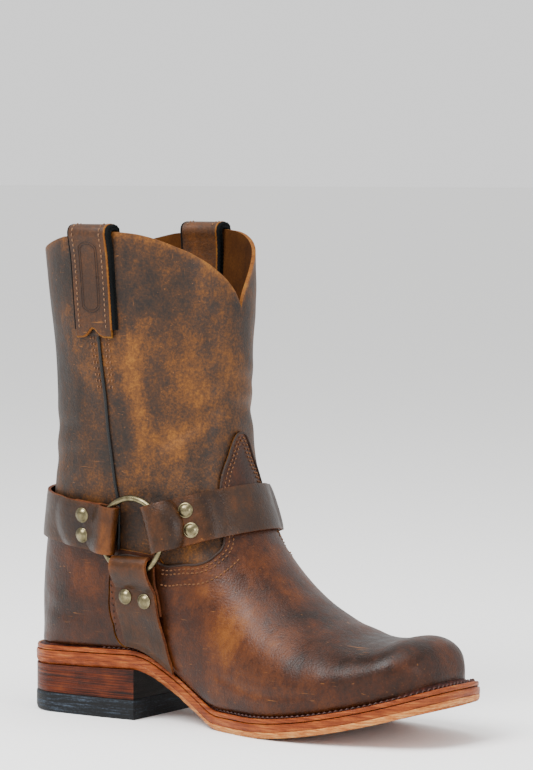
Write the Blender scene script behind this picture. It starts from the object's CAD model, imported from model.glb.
import math

import bmesh
import bpy
import numpy as np
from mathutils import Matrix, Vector
from mathutils.bvhtree import BVHTree


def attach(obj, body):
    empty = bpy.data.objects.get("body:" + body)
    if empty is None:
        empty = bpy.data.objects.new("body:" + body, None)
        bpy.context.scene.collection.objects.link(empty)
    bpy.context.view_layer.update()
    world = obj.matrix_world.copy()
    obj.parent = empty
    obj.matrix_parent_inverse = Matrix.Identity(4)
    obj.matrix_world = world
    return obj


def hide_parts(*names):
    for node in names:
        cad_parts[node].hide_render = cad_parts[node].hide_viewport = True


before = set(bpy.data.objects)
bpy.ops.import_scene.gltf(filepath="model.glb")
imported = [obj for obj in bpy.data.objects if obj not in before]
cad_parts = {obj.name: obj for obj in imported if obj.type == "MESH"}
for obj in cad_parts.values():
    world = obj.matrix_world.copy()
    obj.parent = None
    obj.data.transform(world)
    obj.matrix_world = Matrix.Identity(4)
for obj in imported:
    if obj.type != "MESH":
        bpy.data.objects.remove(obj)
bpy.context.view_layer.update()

MM = 0.001
ORIGIN_X = 151.0

# Sizes of the sole and the upper, the same as in the part's source
SOLE_LENGTH = 302.0
HEEL_RADIUS = 30.0
TOE_CORNER_START = 262.0
TOE_SQUARENESS = 3.3
WELT_THICK = 4.0
OUTSOLE_THICK = 8.2
SOLE_GAP = 0.3
TOE_SPRING = 24.0
SPRING_POWER = 1.65
BALL_START = 156.0
BALL_END = 182.0
WAIST_RISE = 30.5
SEAT_SLOPE = 2.0
BREAST_X = 88.0
BREAST_SKEW = 0.067
CAP_THICK = 12.0
LEATHER = 2.4
OVERLAY = 1.4
SKIN_GAP = 0.3
FEATHER_GAP = 0.9
LEG_AXIS_X = 80.0
COUNTER_HEIGHT = 100.0
COUNTER_SLOPE = 0.12

# Sizes of the harness, the same as in the part's source
STRAP_THICK = 2.4
STRAP_HALF = 14.2
STRAP_LIFT = 3.6
PLY_STEP = 2.9
RING_RADIUS = 22.2
RING_WIRE = 1.9
RING_X = 98.0
RING_Z = 112.3
RING_CLEAR = 1.2
FOLD_RADIUS = 4.2
FOLD_LAP = 26.0
FOLD_OPEN = 9.3
RIVET_HALF_PITCH = 6.1
RIVET_REACH = 15.0
RIVET_SET = 3.5
FRONT_STRAP_TILT = math.radians(16.2)
FRONT_STRAP_Z = 107.2
FRONT_STRAP_SLOPE = -0.45
REAR_STRAP_TILT = math.radians(-6.3)
REAR_STRAP_Z = 114.6
REAR_STRAP_SLOPE = -0.10
DOWN_STRAP_HALF = 13.2
PULL_HALF = 13.0
SEAM_TOP = 230.0
PULL_THICK = 2.6
SIDES = ((-1, "inner"), (1, "outer"))

# Folds and slow waves of the leather: the waves start over the foot and fade at
# the collar, and all of it is held flat under the harness
WAVE_DEPTH = 0.22
WAVE_FROM_Z = 125.0
WAVE_FULL_RISE = 60.0
COLLAR_FADE = 40.0
HARNESS_Z = 117.0
HARNESS_REACH = 22.0
HARNESS_FADE = 16.0
HELD_SHARE = 0.15

# Fineness of the meshes: rows and turns of the upper, rows from the heel's fold
# that are eased and how often, columns of a strap and steps round the leg
SHAFT_ROWS = 190
UPPER_TURNS = np.linspace(0.0, 1.0, 73)
EASED_ROWS = 30.0
EASE_PASSES = 90
STRAP_COLUMNS = 11
STRAP_PLACES = np.linspace(-STRAP_HALF, STRAP_HALF, STRAP_COLUMNS)
STRAP_STEPS = 90
SOLE_POINTS = 260
HEEL_POINTS = 70
EDGE_POINTS = 600
PULL_COLUMNS = 17
PULL_ROWS = 113
RIVET_SIDES = 32
# How often a search for a height halves its range
HALVINGS = 30

# Points this near are one point; grid edges this near are sewn; widths of the
# rounding of cut edges
MERGE_GAP = 0.004
SEWN_GAP = 0.05
PANEL_BEVEL = 0.4
STRAP_BEVEL = 0.5

# Ribs under the forefoot: where they start and end, their pitch, their wave's
# height and length, the plain edge beside them, and one rib's section
RIB_START = 116.0
RIB_END = 290.0
RIB_PITCH = 4.8
RIB_WAVE = 1.1
RIB_WAVE_LENGTH = 9.0
RIB_EDGE = 9.8
RIB_COLUMNS = 81
RIB_SECTION = ((-1.3, 0.75), (-0.55, 0.03), (0.55, 0.03), (1.3, 0.75))

# Wear along the collar and along the vamp's edge: how much lighter, and how far
# in, in millimetres at the collar and in rows of the mesh at the vamp
COLLAR_WEAR = 0.45
COLLAR_WEAR_REACH = 3.0
VAMP_WEAR = 0.3
VAMP_WEAR_ROWS = 3.0

# Where the sole edge starts to turn from the heel's brown to tan, over what run,
# and where the stitches of the underside and of the welt start
TAN_FROM = 96.0
TAN_RUN = 50.0
SOLE_STITCHES_FROM = 96.0
WELT_STITCHES_FROM = 66.0

# Nail holes of the heel cap on one side: x, distance from the middle
NAIL_HOLES = ((62.0, 19.5), (39.0, 18.0), (14.0, 14.5))

# Creases of the upper: points as (x, height), then depth and half width
CREASES = (
    (((112.0, 168.0), (124.0, 176.0), (138.0, 187.0)), 0.9, 5.0),
    (((118.0, 186.0), (130.0, 196.0), (140.0, 204.0)), 0.5, 4.0),
    (((28.0, 152.0), (40.0, 158.0), (56.0, 160.0)), 0.6, 5.0),
    (((22.0, 172.0), (36.0, 176.0), (54.0, 174.0)), 0.5, 5.0),
    (((95.0, 150.0), (104.0, 160.0), (110.0, 176.0)), 0.5, 5.0),
    (((66.0, 150.0), (68.0, 175.0), (66.0, 205.0)), 0.4, 5.0),
    (((108.0, 205.0), (112.0, 225.0), (112.0, 245.0)), 0.45, 7.0),
    (((168.0, 88.0), (178.0, 78.0), (186.0, 64.0)), 0.3, 6.0),
    (((212.0, 59.0), (216.0, 50.0), (222.0, 40.0)), 0.35, 6.0),
    (((229.0, 56.0), (233.0, 47.0), (238.0, 36.0)), 0.2, 5.0),
    (((160.0, 32.0), (190.0, 25.5), (225.0, 27.5)), 0.35, 2.4),
    (((18.0, 66.0), (34.0, 62.0), (56.0, 62.0)), 0.3, 4.0),
)

# Where the leather is rubbed light (above 0) or left dark (below 0), on the inner
# side: x, height, half size along x, half size up, amount
RUBS = (
    (99.0, 196.0, 7.0, 26.0, 0.55),
    (129.0, 203.0, 9.0, 24.0, 0.35),
    (118.0, 170.0, 14.0, 12.0, 0.40),
    (104.0, 232.0, 9.0, 12.0, 0.18),
    (60.0, 226.0, 6.0, 20.0, 0.22),
    (66.0, 168.0, 5.0, 30.0, 0.25),
    (48.0, 245.0, 18.0, 40.0, -0.35),
    (36.0, 205.0, 20.0, 40.0, -0.35),
    (92.0, 186.0, 6.0, 14.0, -0.30),
    (112.0, 262.0, 24.0, 20.0, 0.06),
    (100.0, 124.0, 15.0, 18.0, -0.42),
    (80.0, 152.0, 9.0, 18.0, -0.35),
    (60.0, 84.0, 10.0, 14.0, 0.40),
    (34.0, 60.0, 16.0, 16.0, -0.15),
    (140.0, 80.0, 12.0, 12.0, 0.30),
    (164.0, 96.0, 10.0, 10.0, 0.25),
    (170.0, 60.0, 14.0, 20.0, 0.20),
    (256.0, 48.0, 26.0, 22.0, -0.45),
    (215.0, 66.0, 26.0, 8.0, -0.35),
    (150.0, 27.0, 40.0, 6.0, 0.10),
    (172.0, 60.0, 36.0, 20.0, 0.34),
)

# Outsole outline: x, half width on the inner side, half width on the outer side
SOLE_WIDTHS = (
    (30.0, 36.8, 36.8),
    (60.0, 37.3, 37.3),
    (84.0, 36.4, 37.2),
    (106.0, 34.8, 38.9),
    (121.0, 33.2, 43.2),
    (136.0, 34.6, 50.0),
    (151.0, 40.2, 55.6),
    (166.0, 45.8, 59.4),
    (181.0, 50.8, 60.8),
    (196.0, 54.0, 60.6),
    (211.0, 55.3, 58.5),
    (227.0, 55.0, 55.0),
    (242.0, 53.3, 51.2),
    (257.0, 50.4, 46.4),
    (302.0, 42.0, 29.5),
)

# Ledge of the sole outside the upper: x, ledge width
LEDGE = (
    (0.0, 6.5),
    (60.0, 5.6),
    (100.0, 5.2),
    (140.0, 5.6),
    (200.0, 7.2),
    (260.0, 8.6),
    (302.0, 10.6),
)

# Sections of the last, fanned from the toe over the instep and up the leg.
# ridge_x, ridge_z: the front or top point; low_x, low_z: the back or bottom point
# (low_z 0 means on the sole); half_in, half_out: widest half widths; level: where
# the section is widest, from 0 at the low point to 1 at the ridge; top_round and
# low_round: roundness powers above and below that level.
SECTIONS = (
    (291.3, 34.0, 291.3, 0, 0.0, 0.0, 0.45, 2.2, 2.2),
    (290.7, 41.0, 290.7, 0, 14.0, 9.5, 0.45, 2.3, 2.2),
    (288.0, 49.5, 288.0, 0, 23.5, 16.5, 0.45, 2.4, 2.2),
    (283.0, 55.7, 283.0, 0, 32.5, 24.5, 0.42, 2.4, 2.2),
    (272.0, 58.7, 272.0, 0, 40.0, 33.0, 0.40, 2.4, 2.3),
    (256.0, 56.0, 256.0, 0, 44.5, 40.5, 0.38, 2.3, 2.3),
    (238.0, 56.0, 238.0, 0, 48.2, 46.8, 0.35, 2.2, 2.3),
    (219.0, 61.5, 220.0, 0, 49.8, 52.0, 0.31, 2.1, 2.3),
    (200.0, 70.0, 202.0, 0, 49.4, 54.0, 0.28, 2.0, 2.3),
    (182.0, 83.0, 184.0, 0, 47.0, 53.4, 0.27, 2.0, 2.3),
    (165.0, 100.5, 164.0, 0, 43.5, 50.8, 0.28, 2.0, 2.3),
    (151.0, 124.0, 140.0, 0, 40.3, 47.3, 0.33, 2.0, 2.3),
    (143.5, 148.0, 114.0, 0, 38.8, 45.6, 0.40, 2.0, 2.4),
    (142.2, 166.0, 87.0, 0, 38.7, 45.1, 0.46, 2.0, 2.4),
    (142.4, 182.0, 60.0, 0, 38.9, 44.8, 0.49, 2.0, 2.4),
    (142.8, 195.0, 36.0, 0, 39.4, 45.0, 0.51, 2.0, 2.3),
    (143.2, 205.0, 18.0, 0, 40.0, 45.3, 0.52, 2.05, 2.2),
    (143.5, 213.0, 9.0, 0, 40.7, 45.7, 0.53, 2.1, 2.1),
    (143.6, 220.0, 6.4, 0, 41.8, 45.9, 0.54, 2.1, 2.0),
    (143.7, 228.0, 2.2, 58.0, 43.6, 46.8, 0.54, 2.1, 2.0),
    (143.8, 236.0, 5.0, 80.0, 45.6, 47.9, 0.53, 2.1, 2.0),
    (144.0, 243.0, 10.8, 104.0, 47.8, 49.2, 0.52, 2.1, 2.05),
    (143.9, 249.0, 15.9, 130.0, 49.7, 50.8, 0.52, 2.1, 2.1),
    (143.6, 256.0, 19.0, 158.0, 51.1, 52.1, 0.51, 2.1, 2.1),
    (142.9, 264.0, 19.9, 187.0, 52.8, 53.7, 0.50, 2.15, 2.15),
    (141.8, 273.0, 18.9, 217.0, 54.7, 55.4, 0.50, 2.15, 2.15),
    (140.4, 284.0, 16.3, 249.0, 56.8, 57.1, 0.50, 2.2, 2.2),
    (138.8, 297.0, 13.1, 285.0, 58.9, 58.8, 0.50, 2.2, 2.2),
)

# Collar height round the leg: angle from the front in degrees, height
COLLAR = (
    (0.0, 247.0),
    (3.5, 255.5),
    (11.0, 264.5),
    (22.0, 273.3),
    (34.0, 280.4),
    (52.0, 287.5),
    (66.0, 291.0),
    (90.0, 292.3),
    (110.0, 289.8),
    (138.0, 282.8),
    (160.0, 276.5),
    (180.0, 273.0),
)

# Upper edge of the vamp: turn from the ridge (0) to the sole (1), station
VAMP_EDGE = (
    (0.00, 13.42),
    (0.03, 13.36),
    (0.06, 13.10),
    (0.09, 12.72),
    (0.14, 12.30),
    (0.18, 11.75),
    (0.21, 11.05),
    (0.28, 11.15),
    (0.36, 11.55),
    (0.44, 12.15),
    (0.50, 12.70),
    (0.53, 13.70),
    (0.56, 14.60),
    (0.66, 14.15),
    (0.77, 13.60),
    (1.00, 13.00),
)

# Down strap: share of the way down, x of its middle, half width over that at the ring
DOWN_STRAP_LINE = (
    (0.00, 98.0, 0.0),
    (0.20, 98.4, 0.6),
    (0.40, 99.2, 2.0),
    (0.60, 100.2, 2.8),
    (0.80, 101.8, 3.4),
    (1.00, 103.6, 3.8),
)

# Side seam under its piping: height, x
SIDE_SEAM = (
    (92.0, 82.0),
    (126.0, 83.5),
    (143.0, 82.0),
    (170.0, 81.0),
    (194.0, 81.0),
    (215.0, 79.5),
    (234.0, 78.5),
)

# Pull strap path: outward from the shaft's face, height over the collar
PULL_PATH = (
    (1.8, -62.0),
    (1.8, -46.0),
    (1.8, -30.0),
    (2.2, -15.0),
    (3.4, -6.0),
    (4.3, -1.5),
    (3.4, 1.7),
    (0.6, 2.9),
    (-2.6, 2.9),
    (-5.6, 1.6),
    (-6.6, -1.5),
    (-5.8, -7.0),
    (-4.9, -15.0),
    (-4.5, -28.0),
    (-4.5, -42.0),
)


def curve_rows(rows, at):
    """Rows of a table read smoothly at the given row numbers (Catmull-Rom)."""
    rows = np.asarray(rows, float)
    last = len(rows) - 1
    at = np.clip(np.asarray(at, float), 0.0, last)
    cell = np.clip(np.floor(at).astype(int), 0, last - 1)
    u = (at - cell)[..., None]
    padded = np.vstack([2 * rows[0] - rows[1], rows, 2 * rows[-1] - rows[-2]])
    before, start, end, after = (padded[cell + k] for k in range(4))
    start_slope = (end - before) / 2
    end_slope = (after - start) / 2
    return (
        (2 * u**3 - 3 * u**2 + 1) * start
        + (u**3 - 2 * u**2 + u) * start_slope
        + (3 * u**2 - 2 * u**3) * end
        + (u**3 - u**2) * end_slope
    )


def table_at(table, column, x):
    """One column of a table whose first column is x, read smoothly at x."""
    table = np.asarray(table, float)
    rows = np.interp(x, table[:, 0], np.arange(len(table)))
    return curve_rows(table[:, column:column + 1], rows)[..., 0]


def sole_half(x, side):
    """Half width of the outsole at x, on the inner (-1) or outer (1) side."""
    x = np.asarray(x, float)
    width = table_at(SOLE_WIDTHS, 1 if side < 0 else 2, np.maximum(x, HEEL_RADIUS))
    heel = np.clip((HEEL_RADIUS - x) / HEEL_RADIUS, 0.0, 1.0)
    toe = (x - TOE_CORNER_START) / (SOLE_LENGTH - TOE_CORNER_START)
    toe = np.clip(toe, 0.0, 1.0)
    toe_factor = np.clip(1.0 - toe**TOE_SQUARENESS, 0.0, 1.0) ** (1.0 / TOE_SQUARENESS)
    return width * np.sqrt(1.0 - heel**2) * toe_factor


def sole_bottom(x):
    """Height of the sole's underside: seat, waist, flat ball and toe spring."""
    x = np.asarray(x, float)
    past_ball = np.clip((x - BALL_END) / (SOLE_LENGTH - BALL_END), 0.0, 1.0)
    waist = np.clip((BALL_START - x) / (BALL_START - BREAST_X), 0.0, 1.0)
    rise = WAIST_RISE * waist**2 * (3.0 - 2.0 * waist)
    seat = SEAT_SLOPE * np.clip((BREAST_X - x) / BREAST_X, 0.0, 1.0)
    return TOE_SPRING * past_ball**SPRING_POWER + rise - seat


def sole_top(x):
    """Height of the ledge that the upper stands on."""
    return sole_bottom(x) + OUTSOLE_THICK + SOLE_GAP + WELT_THICK


def sole_stations(count):
    """Places along the sole, close together at the heel and at the toe."""
    return SOLE_LENGTH / 2 * (1.0 - np.cos(np.linspace(0.0, math.pi, count)))


def inset_edge(side):
    """The outsole's edge on one side, moved in by the ledge: x and half width."""
    x = sole_stations(EDGE_POINTS)
    half = sole_half(x, side)
    run_x = np.gradient(x)
    run_y = np.gradient(half)
    length = np.hypot(run_x, run_y)
    ledge = table_at(LEDGE, 1, x)
    edge_x = x + run_y / length * ledge
    edge_y = half - run_x / length * ledge
    keep = edge_y > 0.0
    edge_x = np.concatenate([[edge_x[keep][0]], edge_x[keep], [edge_x[keep][-1]]])
    edge_y = np.concatenate([[0.0], edge_y[keep], [0.0]])
    order = np.argsort(edge_x, kind="stable")
    return edge_x[order], edge_y[order]


FEATHER = {side: inset_edge(side) for side in (-1, 1)}
FEATHER_BACK = max(FEATHER[side][0][0] for side in (-1, 1))
FEATHER_TIP = min(FEATHER[side][0][-1] for side in (-1, 1))
SOLE_ROWS = sum(1 for row in SECTIONS if row[3] == 0)


def boot_points(stations, turns, side):
    """Points of the last's surface: a grid of stations by turns on one side.

    A station is a row of SECTIONS, whole or between rows. A turn runs from 0 at
    the ridge to 1 at the sole or the back seam.
    """
    stations = np.asarray(stations, float)
    turns = np.asarray(turns, float)
    rows = np.asarray(SECTIONS, float)
    on_sole = stations <= SOLE_ROWS - 1
    rows[:SOLE_ROWS, 3] = sole_top(rows[:SOLE_ROWS, 2]) + FEATHER_GAP
    read = curve_rows(rows, stations)
    ridge_x, ridge_z, low_x, low_z, half_in, half_out, level, top_round, low_round = (
        read[..., k] for k in range(9)
    )
    seat_x = np.clip(low_x, FEATHER_BACK, FEATHER_TIP)
    low_x = np.where(on_sole, seat_x, low_x)
    low_z = np.where(on_sole, sole_top(seat_x) + FEATHER_GAP, low_z)
    edge_x, edge_y = FEATHER[side]
    foot = np.where(on_sole, np.interp(seat_x, edge_x, edge_y), 0.0)
    half = np.maximum(half_in if side < 0 else half_out, foot)
    angle = turns * math.pi
    across = np.clip(np.sin(angle), 0.0, 1.0)
    along = np.abs(np.cos(angle))
    over = angle <= math.pi / 2
    power = np.where(over, top_round, low_round)
    across = across ** (2.0 / power)
    along = along ** (2.0 / power)
    y = np.where(over, half * across, foot + (half - foot) * across)
    rise = np.where(over, level + (1.0 - level) * along, level * (1.0 - along))
    x = low_x + rise * (ridge_x - low_x)
    z = low_z + rise * (ridge_z - low_z)
    return np.stack([x, side * y, z], -1)


def collar_height(points):
    """Height of the collar's edge in the direction of each point."""
    angle = np.degrees(np.arctan2(np.abs(points[..., 1]), points[..., 0] - LEG_AXIS_X))
    return table_at(COLLAR, 1, angle)


def station_at_height(turns, side, height_of, first):
    """Station, from a first one up, at which each turn line reaches a height."""
    low = np.full(len(turns), first)
    high = np.full(len(turns), len(SECTIONS) - 1.0)
    for _ in range(HALVINGS):
        middle = (low + high) / 2
        points = boot_points(middle, turns, side)
        under = points[:, 2] < height_of(points)
        low = np.where(under, middle, low)
        high = np.where(under, high, middle)
    return low


def even_normals(points):
    """Outward normals of a grid, shared where its points meet at a seam."""
    rows, columns = points.shape[:2]
    flat = points.reshape(-1, 3)
    _, shared = np.unique(np.round(flat, 2), axis=0, return_inverse=True)
    shared = shared.reshape(-1)
    number = np.arange(rows * columns).reshape(rows, columns)
    corner = number[:-1, :-1].ravel()
    right = number[:-1, 1:].ravel()
    above = number[1:, :-1].ravel()
    across = number[1:, 1:].ravel()
    total = np.zeros((shared.max() + 1, 3))
    for a, b, c in ((corner, right, across), (corner, across, above)):
        facing = np.cross(flat[b] - flat[a], flat[c] - flat[a])
        for k in (a, b, c):
            np.add.at(total, shared[k], facing)
    total /= np.maximum(np.linalg.norm(total, axis=1, keepdims=True), 1e-12)
    return total[shared].reshape(points.shape)


def outward_normals(points):
    """Normals of a grid across the boot, turned away from its middle plane."""
    normals = even_normals(points)
    if np.sum(normals[..., 1] * points[..., 1]) < 0.0:
        normals = -normals
    return normals


def distance_to_line(points, line):
    """Distance of each point to a broken line."""
    best = np.full(points.shape[:-1], 1e9)
    for start, end in zip(line, line[1:]):
        run = end - start
        share = np.clip((points - start) @ run / (run @ run), 0.0, 1.0)
        gap = np.linalg.norm(points - start - share[..., None] * run, axis=-1)
        best = np.minimum(best, gap)
    return best


def crease_depth(points):
    """Height of the leather's folds and slow waves over the smooth last."""
    x, y, z = (points[..., k] for k in range(3))
    wave = np.sin(x / 17.0 + 1.3) * np.sin(z / 23.0 + 0.4)
    wave += 0.6 * np.sin(x / 9.0 + z / 13.0 + y / 11.0)
    loose = np.clip((z - WAVE_FROM_Z) / WAVE_FULL_RISE, 0.0, 1.0)
    loose *= np.clip((collar_height(points) - z) / COLLAR_FADE, HELD_SHARE, 1.0)
    height = WAVE_DEPTH * wave * loose
    for line, depth, half in CREASES:
        smooth = curve_rows(line, np.linspace(0, 2, 9))
        gap = distance_to_line(points[..., [0, 2]], smooth)
        trough = np.exp(-((gap / half) ** 2))
        ridge = np.exp(-(((gap - 1.9 * half) / half) ** 2))
        height += depth * (0.45 * ridge - trough)
    beyond = np.abs(z - HARNESS_Z) - HARNESS_REACH
    return height * np.clip(beyond / HARNESS_FADE, HELD_SHARE, 1.0)


def rubbed(points):
    """How light the leather is rubbed at each point, around 0."""
    total = np.zeros(points.shape[:-1])
    for x, z, wide, high, amount in RUBS:
        gap = ((points[..., 0] - x) / wide) ** 2 + ((points[..., 2] - z) / high) ** 2
        total += amount * np.exp(-gap)
    return total


def across_boot(stations_of, turns, seam_at_back=False):
    """Grid over both sides of the boot, its stations given turn by turn."""
    grids = []
    for side, _ in SIDES:
        stations = stations_of(turns, side)
        grids.append(boot_points(stations, turns[None, :], side))
    if seam_at_back:
        return np.concatenate([grids[0], grids[1][:, -2::-1]], axis=1)
    return np.concatenate([grids[0][:, :0:-1], grids[1]], axis=1)


def collar_stations(turns, side):
    """Stations from the toe to the collar, squeezed onto its edge."""
    last = len(SECTIONS) - 1.0
    rows = np.linspace(0.0, 1.0, SHAFT_ROWS)[:, None]
    bend = SOLE_ROWS / last
    top = station_at_height(turns, side, collar_height, SOLE_ROWS + 2.0)[None, :]
    squeezed = SOLE_ROWS + (rows - bend) / (1.0 - bend) * (top - SOLE_ROWS)
    return np.where(rows <= bend, rows * last, squeezed)


def eased_heel(points, turns):
    """The skin with the fan's fold at the heel eased out, its lower edge kept."""
    rows = points.shape[0]
    fold = SOLE_ROWS / (len(SECTIONS) - 1.0) * (rows - 1)
    at = np.arange(rows)[:, None]
    turn = np.concatenate([turns[:0:-1], turns])[None, :]
    near = np.clip((EASED_ROWS - np.abs(at - fold)) / 12.0, 0.0, 1.0)
    low_back = np.clip((turn - 0.2) / 0.3, 0.0, 1.0)
    above_edge = np.clip((1.0 - turn) / 0.12, 0.0, 1.0)
    past_fold = np.clip((at - fold) / 8.0, 0.0, 1.0)
    share = near * low_back * np.maximum(above_edge, past_fold)
    eased = points.copy()
    for _ in range(EASE_PASSES):
        mean = (eased[:-2] + eased[2:]) / 2
        eased[1:-1] += 0.5 * share[1:-1, :, None] * (mean - eased[1:-1])
    return eased


def place(points):
    """Points in millimetres from the heel, in the model's frame in metres."""
    return (np.asarray(points, float) - (ORIGIN_X, 0.0, 0.0)) * MM


def mesh_piece(name, points, faces, finishes, slot, nodes, **more):
    """A mesh object from points and faces that rides on the boot.

    more may hold face_finish, the finish number of each face, fields, values for
    each point that the finishes read, and sharp, the angle of a hard edge.
    """
    data = bpy.data.meshes.new(name)
    corners = [tuple(map(int, face)) for face in faces]
    data.from_pydata(place(points).tolist(), [], corners)
    for finish in finishes:
        data.materials.append(finish)
    if "face_finish" in more:
        kinds = np.asarray(more["face_finish"], np.int32)
        data.polygons.foreach_set("material_index", kinds)
    for key, values in more.get("fields", {}).items():
        layer = data.attributes.new(key, "FLOAT", "POINT")
        layer.data.foreach_set("value", np.asarray(values, np.float32).ravel())
    mesh = bmesh.new()
    mesh.from_mesh(data)
    bmesh.ops.remove_doubles(mesh, verts=mesh.verts, dist=MERGE_GAP * MM)
    bmesh.ops.recalc_face_normals(mesh, faces=mesh.faces)
    mesh.to_mesh(data)
    mesh.free()
    data.shade_smooth()
    data.set_sharp_from_angle(angle=math.radians(more.get("sharp", 40.0)))
    item = bpy.data.objects.new(name, data)
    bpy.context.scene.collection.objects.link(item)
    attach(item, "root")
    if nodes:
        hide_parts(*nodes)
    return item


def grid_faces(rows, columns, first=0, closed=False):
    """Four-cornered faces of a grid, closed round its columns if asked."""
    number = np.arange(rows * columns).reshape(rows, columns) + first
    if closed:
        number = np.concatenate([number, number[:, :1]], axis=1)
    corners = (number[:-1, :-1], number[:-1, 1:], number[1:, 1:], number[1:, :-1])
    return np.stack([corner.ravel() for corner in corners], axis=1)


def slab(name, top, under, finishes, slot, nodes, fields=None, bevel=PANEL_BEVEL):
    """A closed sheet between two grids: face, cut edge and back have finishes.

    Where the grid's first and last columns meet, it is sewn shut with no rim.
    """
    rows, columns = top.shape[:2]
    count = rows * columns
    points = np.concatenate([top.reshape(-1, 3), under.reshape(-1, 3)])
    number = np.arange(count).reshape(rows, columns)
    border = np.concatenate(
        [number[0, :-1], number[:-1, -1], number[-1, :0:-1], number[:0:-1, 0]]
    )
    after = np.roll(border, -1)
    met = np.abs(top[:, 0] - top[:, -1]).max(axis=1) < SEWN_GAP
    points[number[met, -1]] = top[met, 0]
    points[number[met, -1] + count] = under[met, 0]
    sewn = met[border // columns] & met[after // columns]
    sewn &= border % columns == after % columns
    border, after = border[~sewn], after[~sewn]
    rim = np.stack([border, after, after + count, border + count], axis=1)
    face = grid_faces(rows, columns)
    faces = np.concatenate([face, rim, face + count])
    kinds = np.repeat([0, 1, 2], [len(face), len(rim), len(face)])
    both = {}
    for key, values in (fields or {}).items():
        both[key] = np.concatenate([values.ravel(), values.ravel()])
    item = mesh_piece(
        name, points, faces, finishes, slot, nodes,
        face_finish=kinds, fields=both, sharp=50.0,
    )
    soften = item.modifiers.new("worn_edge", "BEVEL")
    soften.width = bevel * MM
    soften.segments = 2
    soften.limit_method = "ANGLE"
    soften.angle_limit = math.radians(55.0)
    soften.harden_normals = False


def tree_of(points):
    """A grid's surface, ready to be asked for its nearest place."""
    corners = [Vector(point) for point in points.reshape(-1, 3)]
    return BVHTree.FromPolygons(corners, grid_faces(*points.shape[:2]).tolist())


def reach(start, direction):
    """Distance from a point inside the boot to its outer face."""
    return SKIN.ray_cast(Vector(start), Vector(direction))[3]


def side_skin(x, z, side):
    """Half width of the upper's face at a place in the side view."""
    return reach((x, 0.0, z), (0.0, side, 0.0))


def on_surface(tree, points, lift=0.0):
    """Points moved to the nearest place of a surface, and its normals there."""
    found = []
    facing = []
    for point in points:
        spot, normal, _, _ = tree.find_nearest(Vector(point))
        normal = np.array(normal)
        from_axis = np.array(point) - (LEG_AXIS_X, 0.0, point[2])
        normal *= math.copysign(1.0, normal @ from_axis)
        found.append(np.array(spot) + normal * lift)
        facing.append(normal)
    return np.array(found), np.array(facing)


def side_line(side, rows):
    """Points of the upper's side from rows of x and height."""
    return np.array([(x, side * side_skin(x, z, side), z) for x, z in rows])


def unit(vectors):
    """Vectors made one long."""
    return vectors / np.linalg.norm(vectors, axis=-1, keepdims=True)


def circle(count):
    """Angles evenly round a circle."""
    return np.linspace(0.0, math.tau, count, endpoint=False)


def lengths_along(points):
    """Length of a line up to each of its points."""
    steps = np.linalg.norm(np.diff(points, axis=0), axis=1)
    return np.concatenate([[0.0], np.cumsum(steps)])


def evenly(points, normals, pitch):
    """Points and normals along a line, one for each pitch."""
    length = lengths_along(points)
    count = max(int(length[-1] / pitch), 2)
    at = np.linspace(0.0, length[-1], count)
    read = lambda rows: np.stack([np.interp(at, length, rows[:, k]) for k in range(3)], 1)
    return read(points), unit(read(normals))


def stitches(name, rows, finish, slot, length, radius, lean=0.0):
    """Threads laid along rows of points, each dipping into its two holes."""
    sides = 6
    ring = circle(sides)
    share = np.array([-1.0, -0.72, 0.0, 0.72, 1.0])
    verts = []
    faces = []
    for points, normals in rows:
        along = unit(np.gradient(points, axis=0))
        over = np.cross(normals, along)
        along = along * math.cos(lean) + over * math.sin(lean)
        over = np.cross(normals, along)
        for point, normal, run, beside in zip(points, normals, along, over):
            first = len(verts) * sides
            for part in share:
                fat = radius * (1.0 - 0.45 * abs(part) ** 3)
                rise = radius * (0.75 - 1.7 * abs(part) ** 2.5)
                middle = point + run * part * length / 2 + normal * rise
                turn = beside * np.cos(ring)[:, None] + normal * np.sin(ring)[:, None]
                verts.append(middle + turn * fat)
            faces.append(grid_faces(len(share), sides, first, closed=True))
    mesh_piece(name, np.concatenate(verts), np.concatenate(faces), [finish], slot, ())


def tube(name, path, normals, radius, finish, slot, nodes, twist=0.0, sides=12):
    """A round cord along a path, its ends closed, with a slight lay if twisted."""
    along = unit(np.gradient(path, axis=0))
    over = np.cross(normals, along)
    up = np.cross(along, over)
    length = lengths_along(path)
    ring = circle(sides)
    verts = []
    for k, point in enumerate(path):
        fat = radius * (1.0 + twist * np.cos(ring * 2 + length[k] * 2.6))
        turn = over[k] * np.cos(ring)[:, None] + up[k] * np.sin(ring)[:, None]
        verts.append(point + turn * fat[:, None])
    count = len(path)
    faces = [list(face) for face in grid_faces(count, sides, 0, closed=True)]
    faces.append(list(range(sides))[::-1])
    faces.append(list(range((count - 1) * sides, count * sides)))
    mesh_piece(name, np.concatenate(verts), faces, [finish], slot, nodes)


def linear(code):
    """An sRGB hex value as a linear colour."""
    parts = [int(code[k:k + 2], 16) / 255.0 for k in (1, 3, 5)]
    flat = [p / 12.92 if p <= 0.04045 else ((p + 0.055) / 1.055) ** 2.4 for p in parts]
    return (*flat, 1.0)


def add(tree, kind, inputs=None, **settings):
    """Adds a node with its settings, and its inputs as values or links."""
    node = tree.nodes.new(kind)
    for key, value in settings.items():
        setattr(node, key, value)
    for key, value in (inputs or {}).items():
        if isinstance(value, bpy.types.NodeSocket):
            tree.links.new(value, node.inputs[key])
        else:
            node.inputs[key].default_value = value
    return node


def blank(name, **values):
    """A new material with its plain shader values set, and its nodes."""
    material = bpy.data.materials.new(name)
    material.use_nodes = True
    shader = material.node_tree.nodes["Principled BSDF"]
    for key, value in values.items():
        shader.inputs[key.replace("_", " ")].default_value = value
    return material, material.node_tree


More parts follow.
